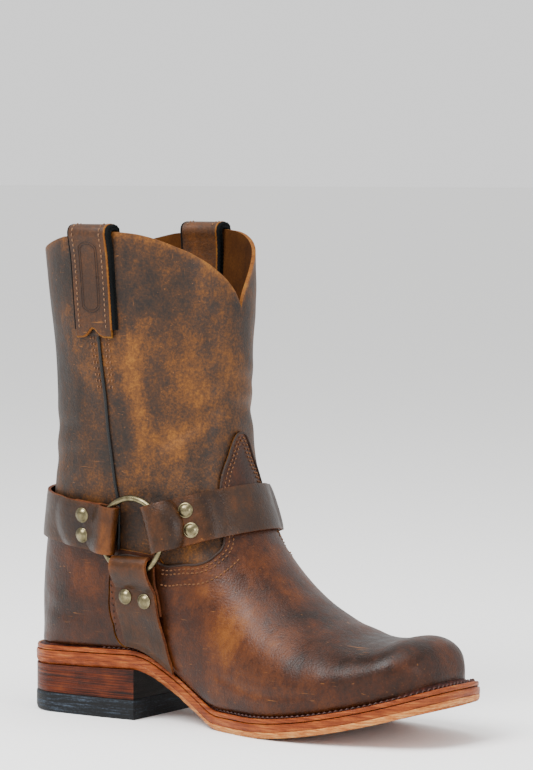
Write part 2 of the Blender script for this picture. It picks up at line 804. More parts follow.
def stretched(tree, size, turn=(0.0, 0.0, 0.0)):
    """Object coordinates divided by a pattern's size in millimetres, each way."""
    place_node = add(tree, "ShaderNodeTexCoord")
    scale = tuple(1000.0 / length for length in size)
    inputs = {"Vector": place_node.outputs["Object"], "Scale": scale, "Rotation": turn}
    return add(tree, "ShaderNodeMapping", inputs).outputs["Vector"]


def noise(tree, size, detail=4.0, rough=0.6, turn=(0.0, 0.0, 0.0), warp=0.0):
    """Cloudy noise whose blots have a size in millimetres, each way."""
    inputs = {
        "Vector": stretched(tree, size, turn),
        "Scale": 1.0,
        "Detail": detail,
        "Roughness": rough,
        "Distortion": warp,
    }
    return add(tree, "ShaderNodeTexNoise", inputs).outputs["Fac"]


def sums(tree, *terms):
    """A sum of sockets, each times its share."""
    total = 0.0
    for socket, share in terms:
        inputs = {0: socket, 1: share, 2: total}
        total = add(tree, "ShaderNodeMath", inputs, operation="MULTIPLY_ADD").outputs[0]
    return total


def ramp(tree, value, stops):
    """A colour ramp of places and hex colours."""
    node = add(tree, "ShaderNodeValToRGB", {"Fac": value})
    while len(node.color_ramp.elements) < len(stops):
        node.color_ramp.elements.new(0.5)
    for element, (at, code) in zip(node.color_ramp.elements, stops):
        element.position = at
        element.color = linear(code)
    return node.outputs["Color"]


def part_of(tree, value, low, high, start=0.0, end=1.0):
    """A value moved from one range to another."""
    inputs = {"Value": value, "From Min": low, "From Max": high, "To Min": start, "To Max": end}
    return add(tree, "ShaderNodeMapRange", inputs, clamp=True).outputs["Result"]


def blend(tree, factor, below, above):
    """Two colours mixed by a factor."""
    inputs = {"Factor": factor, 6: below, 7: above}
    return add(tree, "ShaderNodeMix", inputs, data_type="RGBA").outputs[2]


def field(tree, name):
    """A value stored at the mesh's points."""
    return add(tree, "ShaderNodeAttribute", attribute_name=name).outputs["Fac"]


def dress(material, colour, rough, *layers):
    """A material given its colour, its roughness, unless it is plain, and its
    bump from layers of a height with its depth in millimetres."""
    tree = material.node_tree
    shader = tree.nodes["Principled BSDF"]
    tree.links.new(colour, shader.inputs["Base Color"])
    if rough is not None:
        tree.links.new(rough, shader.inputs["Roughness"])
    normal = None
    for height, depth in layers:
        inputs = {"Height": height, "Distance": depth * MM, "Strength": 1.0}
        if normal is not None:
            inputs["Normal"] = normal
        normal = add(tree, "ShaderNodeBump", inputs).outputs["Normal"]
    if normal is not None:
        tree.links.new(normal, shader.inputs["Normal"])
    return material


def pull_up_leather(name, stops, rough, contrast=1.0, shine=0.24, fleck=0.8, rubs=0.55):
    """Waxed pull-up leather, drum dyed: the eye sees a dark wax over tan hide,
    light where it was bent or rubbed, with thin scratches and a fine grain."""
    material, tree = blank(name, IOR=1.5, Specular_IOR_Level=shine)
    cloud = noise(tree, (34.0, 34.0, 58.0), 4.0, 0.62, warp=0.4)
    mottle = noise(tree, (7.0, 7.0, 8.5), 6.0, 0.7)
    speck = noise(tree, (1.5, 1.5, 1.5), 3.0, 0.7)
    terms = [(cloud, 1.25 * contrast), (mottle, 0.75 * contrast), (speck, fleck)]
    if rubs:
        terms.append((field(tree, "rub"), rubs))
    shift = 0.5 - (2.0 * contrast + fleck) / 2
    inputs = {0: sums(tree, *terms), 1: shift}
    value = add(tree, "ShaderNodeMath", inputs, operation="ADD").outputs[0]
    colour = ramp(tree, value, stops)
    long_marks = noise(tree, (26.0, 1.1, 1.1), 2.0, 0.5, (0.3, 0.9, 0.5), 0.3)
    short_marks = noise(tree, (1.0, 1.0, 15.0), 2.0, 0.5, (0.5, 0.35, 0.2), 0.3)
    marks = sums(
        tree,
        (part_of(tree, long_marks, 0.69, 0.80), 0.5),
        (part_of(tree, short_marks, 0.72, 0.82), 0.4),
    )
    colour = blend(tree, marks, colour, linear("#8f5a26"))
    gloss = part_of(tree, mottle, 0.3, 0.7, rough - 0.07, rough + 0.09)
    inputs = {"Vector": stretched(tree, (1.1, 1.1, 1.1)), "Scale": 1.0}
    grain = add(tree, "ShaderNodeTexVoronoi", inputs).outputs["Distance"]
    return dress(material, colour, gloss, (grain, 0.09), (mottle, 0.3), (speck, 0.07))


def cut_edge_leather(name, dark, mid, light):
    """The cut edge of leather: undyed fibre, golden and slightly fuzzy."""
    material, tree = blank(name, Roughness=0.72, IOR=1.45, Specular_IOR_Level=0.2)
    fibre = noise(tree, (1.6, 1.6, 1.6), 5.0, 0.7)
    blot = noise(tree, (12.0, 12.0, 12.0), 3.0)
    value = sums(tree, (fibre, 0.7), (blot, 0.5))
    colour = ramp(tree, value, ((0.35, dark), (0.6, mid), (0.8, light)))
    return dress(material, colour, None, (fibre, 0.2))


def suede(name, stops):
    """Split leather lining, brushed: a soft nap that looks dull and cloudy."""
    material, tree = blank(name, Roughness=0.92, IOR=1.4, Specular_IOR_Level=0.15)
    cloud = noise(tree, (22.0, 22.0, 30.0), 4.0)
    nap = noise(tree, (1.0, 1.0, 1.6), 4.0, 0.7)
    colour = ramp(tree, sums(tree, (cloud, 0.75), (nap, 0.35)), stops)
    return dress(material, colour, None, (nap, 0.25))


def sole_leather(name, stops, rough, layer=1.2, run=40.0, depth=0.15, heel_stops=None):
    """Oak-bend sole leather, cut, sanded and waxed on its edge: fine lines of
    fibre run along it, light and dark, under a low polish."""
    material, tree = blank(name, IOR=1.5, Specular_IOR_Level=0.15)
    lines = noise(tree, (run, run, layer), 4.0, 0.62)
    blot = noise(tree, (18.0, 18.0, 9.0), 4.0, 0.6)
    pore = noise(tree, (1.2, 1.2, 0.6), 3.0, 0.7)
    value = sums(tree, (lines, 0.55), (blot, 0.3), (pore, 0.15))
    colour = ramp(tree, value, stops)
    if heel_stops:
        at_heel = ramp(tree, value, heel_stops)
        colour = blend(tree, field(tree, "fore"), at_heel, colour)
    gloss = part_of(tree, blot, 0.3, 0.7, rough - 0.06, rough + 0.1)
    return dress(material, colour, gloss, (lines, depth), (pore, 0.12))


def waxed_thread(name, code, dark):
    """Waxed twisted thread: a satin strand with a fine lay."""
    material, tree = blank(name, Roughness=0.55, IOR=1.5, Specular_IOR_Level=0.3)
    lay = noise(tree, (1.0, 1.0, 1.0), 3.0, 0.7)
    colour = ramp(tree, lay, ((0.35, dark), (0.62, code)))
    return dress(material, colour, None, (lay, 0.1))


def antique_brass(name):
    """Brass plated over steel, darkened and brushed back: bright on its high
    places, brown-green in its pits, with soft highlights."""
    material, tree = blank(name, Metallic=1.0, Roughness=0.32)
    pit = noise(tree, (4.5, 4.5, 4.5), 4.0, 0.55)
    brush = noise(tree, (0.5, 3.0, 0.5), 2.0, 0.5)
    value = sums(tree, (pit, 0.8), (brush, 0.2))
    colour = ramp(tree, value, ((0.3, "#463f2d"), (0.5, "#696148"), (0.7, "#8b8163")))
    gloss = part_of(tree, pit, 0.3, 0.7, 0.36, 0.25)
    return dress(material, colour, gloss, (pit, 0.05))


def heel_rubber(name):
    """Moulded rubber, buffed along its edge: blue-black with pale drag lines."""
    material, tree = blank(name, IOR=1.52, Specular_IOR_Level=0.2)
    drag = noise(tree, (26.0, 26.0, 0.8), 5.0, 0.7)
    crumb = noise(tree, (2.0, 2.0, 1.0), 4.0, 0.7)
    value = sums(tree, (drag, 0.75), (crumb, 0.35))
    colour = ramp(tree, value, ((0.42, "#020203"), (0.56, "#080b0f"), (0.72, "#39434f")))
    gloss = part_of(tree, drag, 0.3, 0.7, 0.5, 0.75)
    return dress(material, colour, gloss, (drag, 0.3), (crumb, 0.1))


def studio_paper(name):
    """Matt white paper that the boot stands on."""
    material, tree = blank(name, Roughness=0.9, IOR=1.4)
    tooth = noise(tree, (4.0, 4.0, 4.0), 3.0)
    return dress(material, ramp(tree, tooth, ((0.3, "#f3f3f2"), (0.7, "#f8f8f7"))), None)


# Waxed pull-up hide of the shaft: dark brown that breaks to golden tan in its folds
SHAFT_STOPS = (
    (0.0, "#0e0906"), (0.28, "#1c120b"), (0.46, "#2e1b0c"),
    (0.62, "#44270b"), (0.8, "#5d360d"), (1.0, "#734813"),
)
SHAFT = pull_up_leather("pull_up_leather_shaft", SHAFT_STOPS, rough=0.52)
# The same hide, lasted and polished on the vamp: calmer, redder, with more shine
VAMP_STOPS = (
    (0.0, "#0c0502"), (0.28, "#1a0a03"), (0.5, "#2e1304"), (0.72, "#452005"), (1.0, "#61350b"),
)
VAMP = pull_up_leather(
    "pull_up_leather_vamp", VAMP_STOPS, rough=0.4, contrast=0.9, shine=0.2, fleck=0.4
)
# Thick waxed strap hide: even and dark, light only along its bends and edges
STRAP_STOPS = (
    (0.0, "#0c0603"), (0.35, "#190d07"), (0.55, "#281608"), (0.75, "#3c1f08"), (1.0, "#5a310f"),
)
STRAP = pull_up_leather(
    "waxed_strap_leather", STRAP_STOPS, rough=0.36, contrast=0.85, shine=0.2, fleck=0.3
)
# Hide of the pull straps: mottled mid brown, not rubbed
TAB_STOPS = ((0.0, "#1a0e08"), (0.4, "#2e1a0b"), (0.65, "#40230a"), (1.0, "#59300b"))
TAB = pull_up_leather("pull_up_leather_tab", TAB_STOPS, rough=0.5, contrast=1.1, rubs=0.0)
# Hide darkened by the press and by wax: near black lines in the pull straps and
# the dark cord along the vamp
DARK_STOPS = ((0.0, "#160c08"), (0.5, "#24160e"), (1.0, "#331f13"))
TAB_DARK = pull_up_leather("pressed_leather", DARK_STOPS, rough=0.6, rubs=0.0)
# Raw cut edge of the upper: a golden fuzzy line round the collar and the panels
RAW = cut_edge_leather("cut_leather_edge", "#412105", "#64390b", "#724f19")
# Stained cut edge of the straps: a reddish line, darker than the raw one
STRAP_EDGE = cut_edge_leather("strap_edge", "#2f170f", "#4c2612", "#73411a")
# Brushed split lining: dull warm brown inside the collar
LINING = suede("split_lining", ((0.3, "#210f04"), (0.5, "#371c05"), (0.75, "#4d2c0c")))
# Woven binding tape of the pull straps: matt black with a soft nap
BINDING = suede("black_binding_tape", ((0.3, "#020202"), (0.7, "#090c0d")))
# Waxed and polished sole edge: red-brown with light lines of fibre
EDGE_STOPS = ((0.34, "#3c1507"), (0.45, "#5e280e"), (0.54, "#7a3a17"), (0.68, "#96602f"))
EDGE = sole_leather("waxed_sole_edge", EDGE_STOPS, rough=0.36, layer=0.9, run=16.0)
# Rasped lower layer of the sole: pale tan, stained like the edge toward the heel
TAN_STOPS = ((0.34, "#6e3410"), (0.45, "#955322"), (0.55, "#ae743c"), (0.68, "#c09a64"))
TAN_EDGE = sole_leather(
    "tan_sole_edge", TAN_STOPS, rough=0.5, layer=0.9, run=9.0, depth=0.3, heel_stops=EDGE_STOPS
)
# Top of the welt under its stitches: blackened and dull
LEDGE_STOPS = ((0.36, "#0d0403"), (0.5, "#230a06"), (0.66, "#4d1d0d"))
LEDGE_TOP = sole_leather("welt_ledge", LEDGE_STOPS, 0.55, layer=3.0, run=3.0, depth=0.4)
# Polished lip of the welt: a lighter orange-brown line over the sole edge
LIP_STOPS = ((0.38, "#602d0f"), (0.5, "#814518"), (0.62, "#94612c"))
WELT_LIP = sole_leather("welt_lip", LIP_STOPS, rough=0.42)
# Underside of the sole: smooth orange-tan leather, its ribs a little lighter
TREAD_STOPS = ((0.36, "#8f4a20"), (0.5, "#a85f2e"), (0.66, "#bb7a45"))
TREAD = sole_leather("outsole_ribs", TREAD_STOPS, rough=0.6, layer=6.0, run=6.0)
FACE_STOPS = ((0.36, "#6e3414"), (0.5, "#86451e"), (0.66, "#985a30"))
SOLE_FACE = sole_leather("outsole_face", FACE_STOPS, rough=0.6, layer=6.0, run=6.0)
# Stacked lifts of the heel: deep red-brown, streaked by their layers
STACK_STOPS = (
    (0.38, "#060200"), (0.44, "#230901"), (0.5, "#3c1303"),
    (0.57, "#4f1f06"), (0.66, "#6a3710"),
)
STACK = sole_leather(
    "stacked_heel_leather", STACK_STOPS, rough=0.4, layer=0.7, run=45.0, depth=0.25
)
# Front face of the lifts: inked black, so that the heel ends in a dark plane
BREAST_STOPS = ((0.36, "#030202"), (0.5, "#0b0806"), (0.66, "#201712"))
BREAST = sole_leather(
    "blackened_heel_breast", BREAST_STOPS, rough=0.5, layer=0.7, run=45.0, depth=0.25
)
# Rubber heel cap: a blue-black band with pale lines where it was buffed
RUBBER = heel_rubber("heel_rubber")
# Rings and rivets: dull aged brass that catches the light on its round places
BRASS = antique_brass("antique_brass")
# Threads: tan in the vamp and the shaft, pale in the pull straps, dark round the
# heel and in the welt, off-white under the sole
THREAD = waxed_thread("tan_thread", "#6b4423", "#402410")
PALE_THREAD = waxed_thread("pale_thread", "#7c5a3c", "#52341d")
DARK_THREAD = waxed_thread("dark_thread", "#2d160d", "#160905")
WHITE_THREAD = waxed_thread("white_thread", "#8e8777", "#6f6651")
WELT_THREAD = waxed_thread("welt_thread", "#3e1609", "#1a0703")
# Woven cord of the side piping: black with a satin lay
CORD = waxed_thread("black_piping", "#090b0b", "#020202")


class Band:
    """A flat strap wrapped round the leg, square to a tilted axis."""

    def __init__(self, height, tilt, slope_limit, front):
        self.start = np.array((LEG_AXIS_X, 0.0, height))
        self.ahead = np.array((math.cos(tilt), 0.0, math.sin(tilt)))
        self.up = np.array((-math.sin(tilt), 0.0, math.cos(tilt)))
        self.tilt = tilt
        self.slope_limit = slope_limit
        self.front = front

    def way(self, angle):
        """Direction out of the leg at an angle round it."""
        return self.ahead * math.cos(angle) + np.array((0.0, math.sin(angle), 0.0))

    def line(self, angle):
        """Radius and slope of the straight line across the strap at an angle."""
        across = np.linspace(-STRAP_HALF, STRAP_HALF, 5)
        radii = [reach(self.start + self.up * w, self.way(angle)) for w in across]
        slope = (radii[-1] - radii[0]) / (2 * STRAP_HALF)
        slope = max(slope, self.slope_limit)
        return max(r - slope * w for r, w in zip(radii, across)), slope

    def point(self, angle, across, out):
        """A point of the strap at an angle, across it, and out from the leg."""
        radius, slope = self.line(angle)
        radius += slope * across + out
        return self.start + self.up * across + self.way(angle) * radius

    def wire(self, side, across):
        """Where the ring passes the strap, its angle and its distance outside."""
        centre = ring_centre(side)
        height = (across - (centre - self.start) @ self.up) / RING_RADIUS
        turn = math.asin(height)
        turn = self.tilt + (turn if self.front else math.pi - turn)
        spot = centre + RING_RADIUS * np.array((math.cos(turn), 0.0, math.sin(turn)))
        flat_x = (spot - self.start) @ self.ahead
        angle = math.atan2(spot[1], flat_x)
        radius, slope = self.line(angle)
        return spot, angle, math.hypot(flat_x, spot[1]) - radius - slope * across


def ring_centre(side):
    """Middle of the ring on one side."""
    face = side_skin(RING_X, RING_Z - RING_RADIUS, side)
    out = face + STRAP_LIFT + FOLD_RADIUS + RING_CLEAR
    return np.array((RING_X, side * out, RING_Z))


def make_upper():
    """The whole boot's leather with its lining and its raw collar edge."""
    points = eased_heel(across_boot(collar_stations, UPPER_TURNS), UPPER_TURNS)
    outward = outward_normals(points)
    face = points + outward * crease_depth(points)[..., None]
    back = points - outward * (LEATHER - 0.1)
    gap = collar_height(points) - points[..., 2]
    worn = COLLAR_WEAR * np.exp(-((gap / COLLAR_WEAR_REACH) ** 2))
    rub = {"rub": rubbed(points) + worn}
    slab("upper_shaft", face, back, [SHAFT, RAW, LINING], "brown_leather", ["upper"], rub)
    return face


def vamp_grid(turns, _):
    """Stations of the vamp, from the toe to its upper edge."""
    shares = np.linspace(0.0, 1.0, 150)[:, None]
    shares = 1.0 - (1.0 - shares) ** 1.25
    return shares * (table_at(VAMP_EDGE, 1, turns) - 0.02)[None, :]


def counter_grid(turns, side):
    """Stations of the counter, from the vamp's edge to its own upper edge."""
    top = lambda p: COUNTER_HEIGHT + COUNTER_SLOPE * (LEG_AXIS_X - p[..., 0])
    start = table_at(VAMP_EDGE, 1, turns) + 0.04
    end = np.maximum(station_at_height(turns, side, top, 9.0), start + 0.3)
    shares = np.linspace(0.0, 1.0, 60)[:, None]
    return start + shares * (end - start)


def make_vamp():
    """The vamp, laid over the upper's creases, with a raw cut edge."""
    points = across_boot(vamp_grid, UPPER_TURNS)
    outward = outward_normals(points)
    base = points + outward * (crease_depth(points) + SKIN_GAP)[..., None]
    face = base + outward * OVERLAY
    from_edge = (np.arange(len(points))[:, None] - len(points) + 1) / VAMP_WEAR_ROWS
    rub = {"rub": rubbed(points) + VAMP_WEAR * np.exp(-(from_edge**2))}
    slab("vamp_panel", face, base, [VAMP, RAW, LINING], "brown_leather", ["vamp"], rub)
    return face


def make_counter():
    """The counter, laid round the heel on the upper's face."""
    points = across_boot(counter_grid, np.linspace(0.5, 1.0, 44), seam_at_back=True)
    base, outward = on_surface(FACE, points.reshape(-1, 3), SKIN_GAP)
    base = base.reshape(points.shape)
    face = base + outward.reshape(points.shape) * OVERLAY
    rub = {"rub": rubbed(points)}
    finishes = [VAMP, RAW, LINING]
    slab("counter_panel", face, base, finishes, "brown_leather", ["counter"], rub)


def sole_outline():
    """The sole's outline from the heel along the inner side and back."""
    x = sole_stations(SOLE_POINTS)
    inner = np.stack([x, -sole_half(x, -1)], 1)
    outer = np.stack([x, sole_half(x, 1)], 1)
    return np.concatenate([inner, outer[-2:0:-1]])


OUTLINE = sole_outline()


def inset_loop(inset):
    """The outline moved in by a distance, which may differ from point to point."""
    run = unit(np.roll(OUTLINE, -1, 0) - np.roll(OUTLINE, 1, 0))
    inward = np.stack([-run[:, 1], run[:, 0]], 1)
    moved = OUTLINE + inward * np.broadcast_to(inset, len(OUTLINE))[:, None]
    wrong = moved[:, 1] * OUTLINE[:, 1] < 0.0
    moved[wrong, 1] = 0.0
    return moved


def on_sole(inset, rise):
    """The outline moved in, at a height over the sole's underside."""
    height = sole_bottom(OUTLINE[:, 0]) + rise
    return np.column_stack([inset_loop(inset), height])


def loop_rings(rows):
    """Rings of points from rows of inset and height over the sole's underside."""
    return np.array([on_sole(inset, rise) for inset, rise in rows])


def forepart(points):
    """How far a place of the sole is from the heel's brown edge, 0 to 1."""
    return np.clip((points[..., 0] - TAN_FROM) / TAN_RUN, 0.0, 1.0)


def ring_solid(name, rings, finishes, kinds, slot, nodes):
    """A solid whose wall goes through rings, closed across its first and last."""
    count, ring = rings.shape[:2]
    faces = [list(face) for face in grid_faces(count, ring, 0, closed=True)]
    face_kinds = list(np.repeat(kinds[:count - 1], ring))
    half = ring // 2
    for first, kind in ((0, kinds[-2]), ((count - 1) * ring, kinds[-1])):
        for k in range(half):
            cell = [k, k + 1, ring - k - 1, (ring - k) % ring]
            cell = list(dict.fromkeys(first + c for c in cell))
            if len(cell) > 2:
                faces.append(cell)
                face_kinds.append(kind)
    return mesh_piece(
        name, rings.reshape(-1, 3), faces, finishes, slot, nodes,
        face_finish=face_kinds, fields={"fore": forepart(rings)}, sharp=35.0,
    )


def make_outsole():
    """The outsole: a tan layer with a rasped edge under a polished brown one."""
    position = np.arange(len(OUTLINE))
    rasp = 0.22 * np.sin(position * 1.9) + 0.18 * np.sin(position * 0.73 + 1.0)
    rows = [
        (4.3, 0.7),
        (3.6, 0.0),
        (1.7 + rasp, 0.0),
        (0.7 + rasp * 0.6, 1.2),
        (0.25, 2.0),
        (0.1, 3.6),
        (0.35, 3.9),
        (0.1, 4.2),
        (0.0, 6.4),
        (0.25, 7.9),
        (0.6, OUTSOLE_THICK),
        (4.0, OUTSOLE_THICK),
    ]
    kinds = [1, 1, 1, 1, 1, 0, 0, 0, 0, 0, 0, 2, 0]
    finishes = [EDGE, TAN_EDGE, SOLE_FACE]
    ring_solid("outsole_layers", loop_rings(rows), finishes, kinds, "sole_leather", ["outsole"])


def make_tread():
    """Wavy ribs under the forefoot, shortened to a point at the waist."""
    verts = []
    faces = []
    across = np.linspace(-1.0, 1.0, RIB_COLUMNS)
    for start in np.arange(RIB_START, RIB_END, RIB_PITCH):
        here = np.full(RIB_COLUMNS, start)
        half = np.where(across < 0, sole_half(here, -1), sole_half(here, 1)) - RIB_EDGE
        half = np.minimum(half, (start - 109.0) * 1.1)
        y = across * half
        x = start + RIB_WAVE * np.cos(y * math.tau / RIB_WAVE_LENGTH)
        faces.append(grid_faces(len(RIB_SECTION), RIB_COLUMNS, len(verts) * RIB_COLUMNS))
        for offset, rise in RIB_SECTION:
            base = np.maximum(sole_bottom(x + offset), 0.0)
            verts.append(np.column_stack([x + offset, y, base + rise]))
    points = np.concatenate(verts)
    mesh_piece("tread_ribs", points, np.concatenate(faces), [TREAD], "sole_leather", ())


def make_sole_stitches():
    """Two rows of stitches round the underside, in front of the heel."""
    rows = []
    for inset in (5.0, 7.6):
        points = on_sole(inset, 0.74)[OUTLINE[:, 0] > SOLE_STITCHES_FROM]
        down = np.tile((0.0, 0.0, -1.0), (len(points), 1))
        rows.append(evenly(points, down, pitch=4.2))
    stitches("outsole_stitches", rows, WHITE_THREAD, "sole_leather", length=3.0, radius=0.42)


def make_welt():
    """The welt: a polished lip, then the grooved ledge that its stitches pull in."""
    ledge = table_at(LEDGE, 1, OUTLINE[:, 0])
    low = OUTSOLE_THICK + SOLE_GAP
    top = low + WELT_THICK
    rows = [
        (ledge + 4.5, low),
        (1.3, low),
        (0.75, low + 0.4),
        (0.7, top - 2.0),
        (1.0, top - 1.3),
        (1.7, top - 1.1),
        (2.2, top - 1.5),
        (2.7, top - 1.6),
        (ledge * 0.75, top - 0.5),
        (ledge - 0.5, top + 0.5),
        (ledge + 3.0, top + 0.4),
        (ledge + 4.5, top - 0.6),
    ]
    rings = loop_rings(rows)
    count, ring = rings.shape[:2]
    number = np.arange(ring)
    after = np.roll(number, -1)
    last = (count - 1) * ring
    inner = np.stack([number + last, after + last, after, number], 1)
    faces = np.concatenate([grid_faces(count, ring, 0, closed=True), inner])
    kinds = np.repeat([0, 0, 0, 0, 0, 1, 2, 2, 2, 2, 2, 2], ring)
    finishes = [EDGE, WELT_LIP, LEDGE_TOP]
    mesh_piece(
        "stitched_welt", rings.reshape(-1, 3), faces, finishes, "welt_leather", ["welt"],
        face_finish=kinds, fields={"fore": forepart(rings)}, sharp=50.0,
    )
    points = on_sole(np.minimum(3.9, ledge * 0.62), top - 0.95)
    points = points[OUTLINE[:, 0] > WELT_STITCHES_FROM]
    up = np.tile((0.0, 0.0, 1.0), (len(points), 1))
    row = evenly(points, up, pitch=3.6)
    finish, slot = WELT_THREAD, "welt_leather"
    stitches("welt_stitches", [row], finish, slot, length=3.2, radius=0.7, lean=0.35)


def heel_loop(inset):
    """The heel's outline, from its back along the inner side to the breast."""
    turn = np.linspace(0.0, math.pi / 2, HEEL_POINTS)
    x = 0.4 + (BREAST_X - 0.4) * (1.0 - np.cos(turn))
    share = (x / BREAST_X) ** 2
    edges = []
    for side in (-1, 1):
        half = np.maximum(sole_half(x, side) - inset, 0.3)
        moved = x - side * half * BREAST_SKEW * share + inset * (1.0 - share)
        edges.append(np.column_stack([moved, side * half]))
    return np.concatenate([edges[0], edges[1][::-1]])


def heel_solid(name, rows, low, high, finish, slot, node):
    """A layer of the heel from rows of inset and share of its height."""
    x = heel_loop(0.0)[:, 0]
    rings = []
    for inset, share in rows:
        z = low(x) + share * (high(x) - low(x))
        rings.append(np.column_stack([heel_loop(inset), z]))
    kinds = [0] * (len(rows) + 1)
    return ring_solid(name, np.array(rings), [finish], kinds, slot, [node])


def flat_at(height):
    """A height that is the same at every place."""
    return lambda x: np.full_like(x, height)


def make_heel_lifts():
    """The stacked lifts with fine joints between them and a black front face."""
    rows = [(0.5, 0.0), (0.3, 0.01)]
    for k in range(1, 5):
        rows += [(0.3, k / 5 - 0.012), (0.42, k / 5), (0.3, k / 5 + 0.012)]
    rows += [(0.3, 0.985), (0.5, 1.0)]
    low = flat_at(CAP_THICK + SOLE_GAP)
    high = lambda x: sole_bottom(np.minimum(x, BREAST_X)) - SOLE_GAP
    lifts = heel_solid("heel_lifts", rows, low, high, STACK, "stacked_leather", "heel_stack")
    lifts.data.materials.append(BREAST)
    for face in lifts.data.polygons:
        if face.normal.x > 0.8:
            face.material_index = 1


def make_heel_cap():
    """The rubber cap with its nail holes."""
    rows = [(1.2, 0.0), (0.35, 0.07), (0.05, 0.2), (0.05, 0.9), (0.4, 1.0)]
    low, high = flat_at(0.0), flat_at(CAP_THICK)
    cap = heel_solid("rubber_heel_cap", rows, low, high, RUBBER, "heel_rubber", "heel_cap")
    drill = bmesh.new()
    for x, y in NAIL_HOLES:
        for side in (-1, 1):
            made = bmesh.ops.create_cone(
                drill, cap_ends=True, segments=20,
                radius1=2.4 * MM, radius2=2.0 * MM, depth=6.0 * MM,
            )
            spot = Vector(place((x, side * y, 0.5)))
            bmesh.ops.translate(drill, verts=made["verts"], vec=spot)
    data = bpy.data.meshes.new("nail_holes")
    drill.to_mesh(data)
    drill.free()
    data.materials.append(RUBBER)
    cutter = bpy.data.objects.new("nail_holes", data)
    bpy.context.scene.collection.objects.link(cutter)
    change = cap.modifiers.new("nail_holes", "BOOLEAN")
    change.object = cutter
    change.operation = "DIFFERENCE"
    change.solver = "EXACT"
    bpy.context.view_layer.objects.active = cap
    with bpy.context.temp_override(object=cap, active_object=cap):
        bpy.ops.object.modifier_apply(modifier=change.name)
    bpy.data.objects.remove(cutter, do_unlink=True)


def line_insole():
    """The insole keeps the shape of its node and gets the lining's look."""
    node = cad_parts["insole"]
    node.data.materials.clear()
    node.data.materials.append(LINING)


def strap_slab(name, points, outward, rub, node):
    """A strap from the grid of its middle surface, which faces outward."""
    normals = even_normals(points)
    if np.sum(normals[points.shape[0] // 2] * outward) < 0.0:
        normals = -normals
    crown = np.linspace(-1.0, 1.0, points.shape[1])
    crown = (1.0 - 0.22 * np.abs(crown) ** 6)[None, :, None]
    half = normals * STRAP_THICK / 2 * crown
    finishes = [STRAP, STRAP_EDGE, STRAP]
    fields = {"rub": rub}
    face, back = points + half, points - half
    slab(name, face, back, finishes, "strap_leather", [node], fields, STRAP_BEVEL)


def smooth_profile(profile):
    """A fold's profile read smoothly, at four places from each point to the next."""
    last = len(profile) - 1
    return curve_rows(profile, np.linspace(0.0, float(last), last * 4 + 1))


def soft_fold(wire_out):
    """The fold's profile: round the wire, then down in a slope to the rivets."""
    low = STRAP_LIFT
    high = STRAP_LIFT + PLY_STEP
    profile = [(FOLD_LAP, low), (RIVET_REACH, low), (RIVET_REACH - 1.5, low + 0.1)]
    profile.append((FOLD_OPEN, wire_out - FOLD_RADIUS * 0.95))
    for step in range(5):
        angle = math.radians(-90.0 + 45.0 * step)
        along = -FOLD_RADIUS * math.cos(angle)
        profile.append((along, wire_out + FOLD_RADIUS * math.sin(angle)))
    profile += [(3.0, wire_out + 3.9), (6.0, wire_out + 2.6), (9.3, wire_out + 0.4)]
    profile += [(12.6, high + 0.25), (RIVET_REACH, high), (FOLD_LAP, high - 0.05)]
    profile.append((FOLD_LAP + 9.0, low))
    return profile


def wrapped_column(band, side, across):
    """One column of a folded end that goes round the wire, and its last angle."""
    spot, wire_angle, wire_out = band.wire(side, across)
    radius = band.line(wire_angle)[0] + wire_out
    toward = 1.0 if band.front else -1.0
    column = []
    for along, out in smooth_profile(soft_fold(wire_out)):
        angle = wire_angle - side * toward * along / radius
        beside = np.array((0.0, side * (out - wire_out), 0.0))
        straight = spot + band.ahead * toward * along + beside
        wrapped = band.point(angle, across, out)
        share = min(max((along - FOLD_OPEN) / 3.0, 0.0), 1.0)
        column.append(straight + (wrapped - straight) * share)
    return np.array(column), angle


def band_columns(band, side):
    """Columns of a folded end, its fold nearly straight over the round wire."""
    found = [wrapped_column(band, side, across) for across in STRAP_PLACES]
    low, high = found[0][0], found[-1][0]
    along = smooth_profile(soft_fold(9.0))[:, 0]
    hold = 0.85 * (1.0 - np.clip((along - 1.0) / 11.0, 0.0, 1.0) ** 2)
    columns = []
    for across, (column, angle) in zip(STRAP_PLACES, found):
        share = (across + STRAP_HALF) / (2 * STRAP_HALF)
        chord = low + (high - low) * share
        columns.append((column + (chord - column) * hold[:, None], angle))
    return columns


def make_band(name, node, band, fold_rub):
    """A harness strap round the leg, from ring to ring, folded round both."""
    columns = []
    ends = zip(STRAP_PLACES, band_columns(band, -1), band_columns(band, 1))
    for across, (near, near_angle), (far, far_angle) in ends:
        if not band.front:
            far_angle -= 2 * math.pi
        angles = np.linspace(near_angle, far_angle, STRAP_STEPS + 1)[1:-1]
        middle = [band.point(angle, across, STRAP_LIFT) for angle in angles]
        columns.append(np.concatenate([near, middle, far[::-1]]))
    points = np.array(columns).transpose(1, 0, 2)
    middle = points[points.shape[0] // 2]
    outward = middle - (LEG_AXIS_X, 0.0, 0.0)
    outward[:, 2] = 0.0
    count = points.shape[0]
    fold = len(smooth_profile(soft_fold(9.0)))
    at = np.arange(count)
    from_end = np.minimum(at, count - 1 - at)
    bend = np.exp(-(((from_end - fold * 0.5) / (fold * 0.12)) ** 2))
    edge = np.abs(np.linspace(-1.0, 1.0, points.shape[1]))
    rub = fold_rub * bend[:, None] + 0.25 * edge[None, :] ** 12
    strap_slab(name, points, outward, rub, node)


